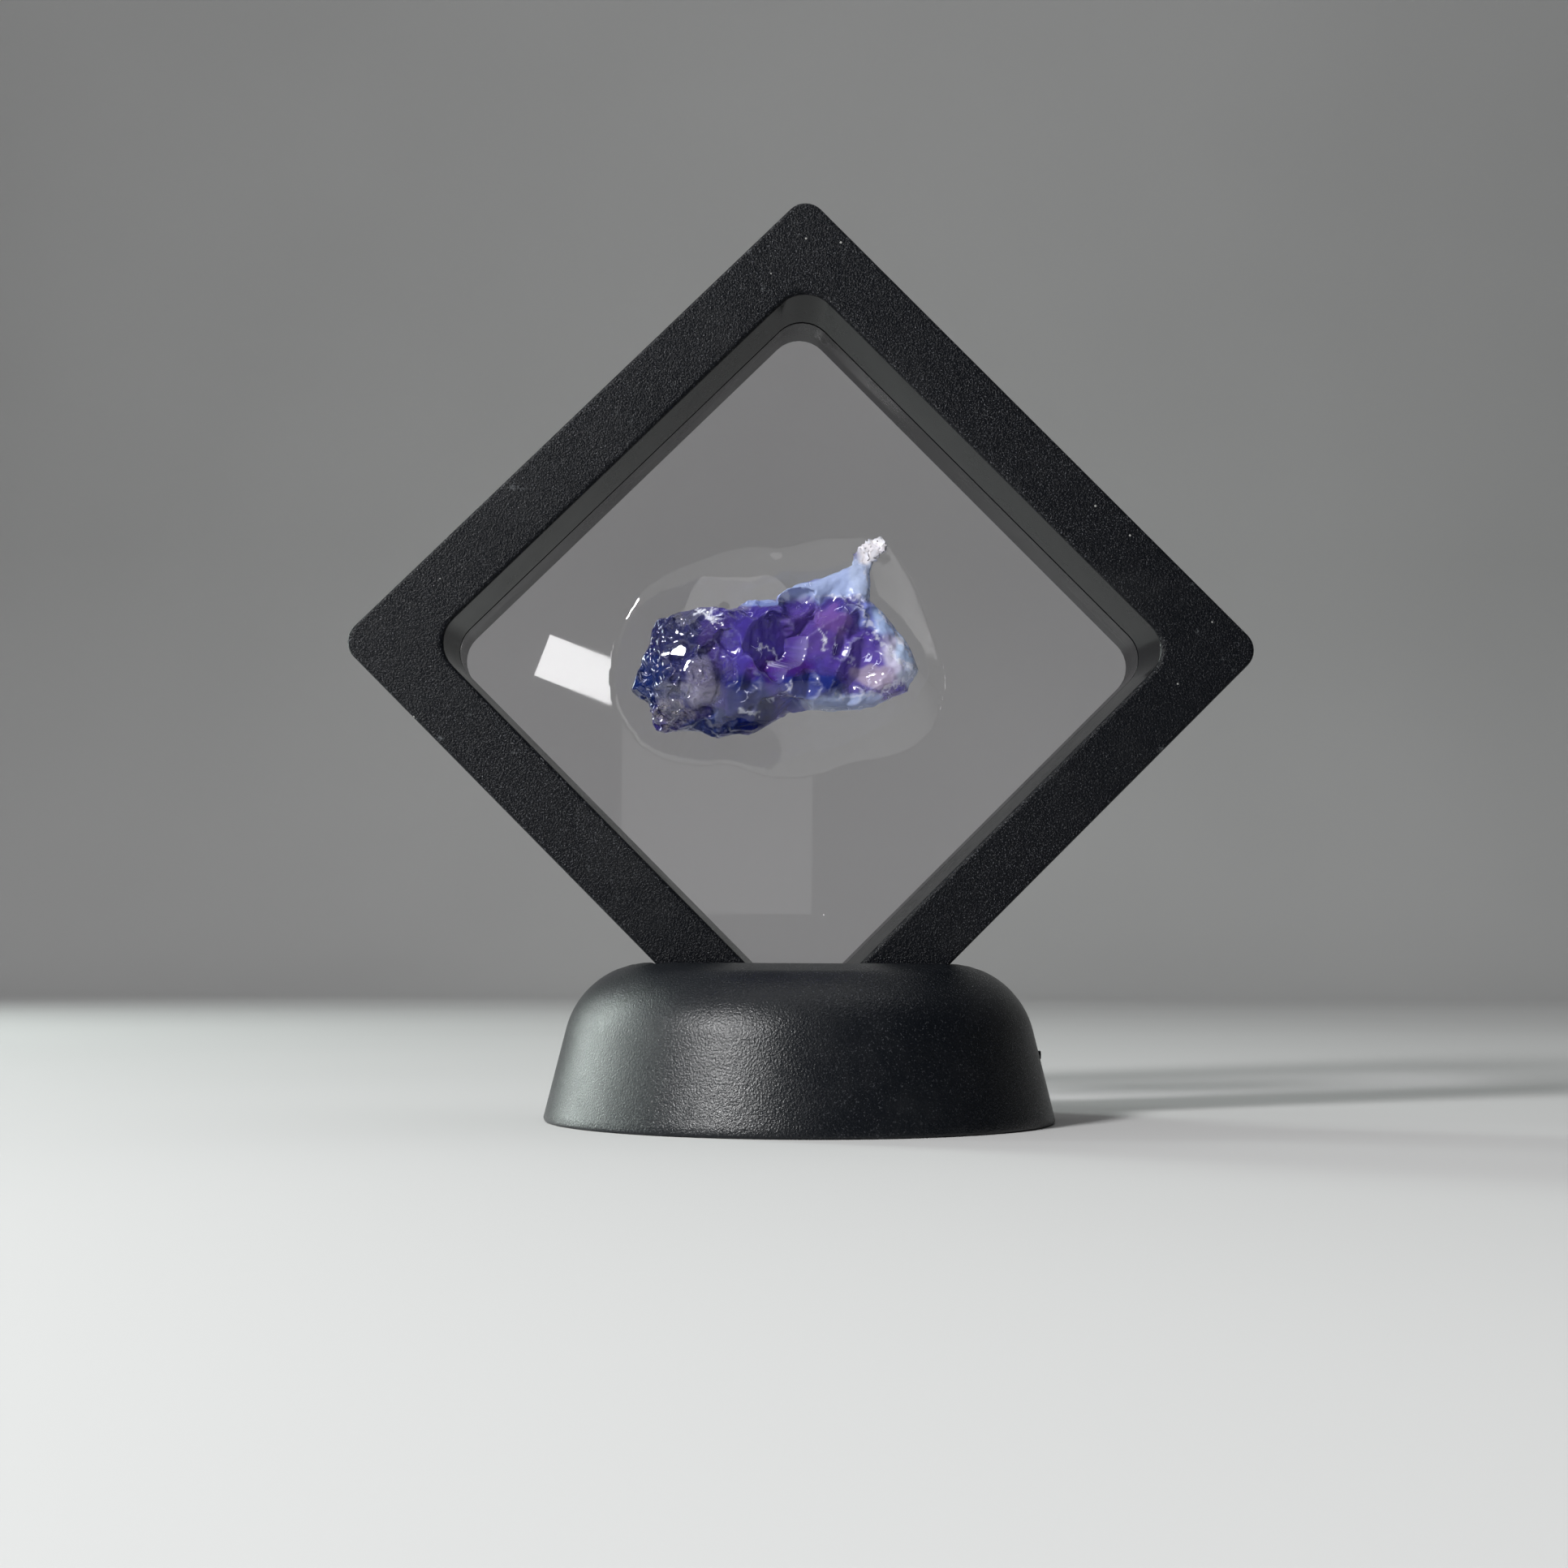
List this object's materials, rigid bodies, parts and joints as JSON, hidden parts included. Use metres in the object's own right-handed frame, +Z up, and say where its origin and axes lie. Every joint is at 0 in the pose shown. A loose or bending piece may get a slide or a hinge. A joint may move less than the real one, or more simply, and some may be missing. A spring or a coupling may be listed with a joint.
{
  "type": "crystal display stand",
  "caption": "Blue and colourless halite crystal floating between clear films in a square frame that stands on one corner in a round black base.",
  "frame": {"origin": "middle of the ring that the base stands on", "axes": "+Z up, the frame's faces look along -Y (front) and +Y (rear), +X to the right seen from the front"},
  "size_m": [0.1248, 0.071, 0.1277],
  "materials": {
    "base_plastic": "black moulded plastic with a fine spark-eroded texture",
    "frame_plastic": "black moulded plastic, fine texture on the faces and smoother window walls",
    "film_bond": "thin black adhesive ring",
    "clear_film": "clear glossy elastic film",
    "blue_halite": "glassy natural crystal, indigo core, colourless left end, pale frosted rims"
  },
  "bodies": {
    "base": {"display_base": "base_plastic"},
    "frame": {"front_frame_half": "frame_plastic", "rear_frame_half": "frame_plastic", "front_film_bond": "film_bond", "rear_film_bond": "film_bond", "front_film": "clear_film", "rear_film": "clear_film", "halite_crystal": "blue_halite"}
  },
  "joints": [
    {"name": "frame_lift", "type": "slide", "parent": "base", "child": "frame", "axis": [0, 0, 1], "range_m": [0, 0.03]}
  ]
}
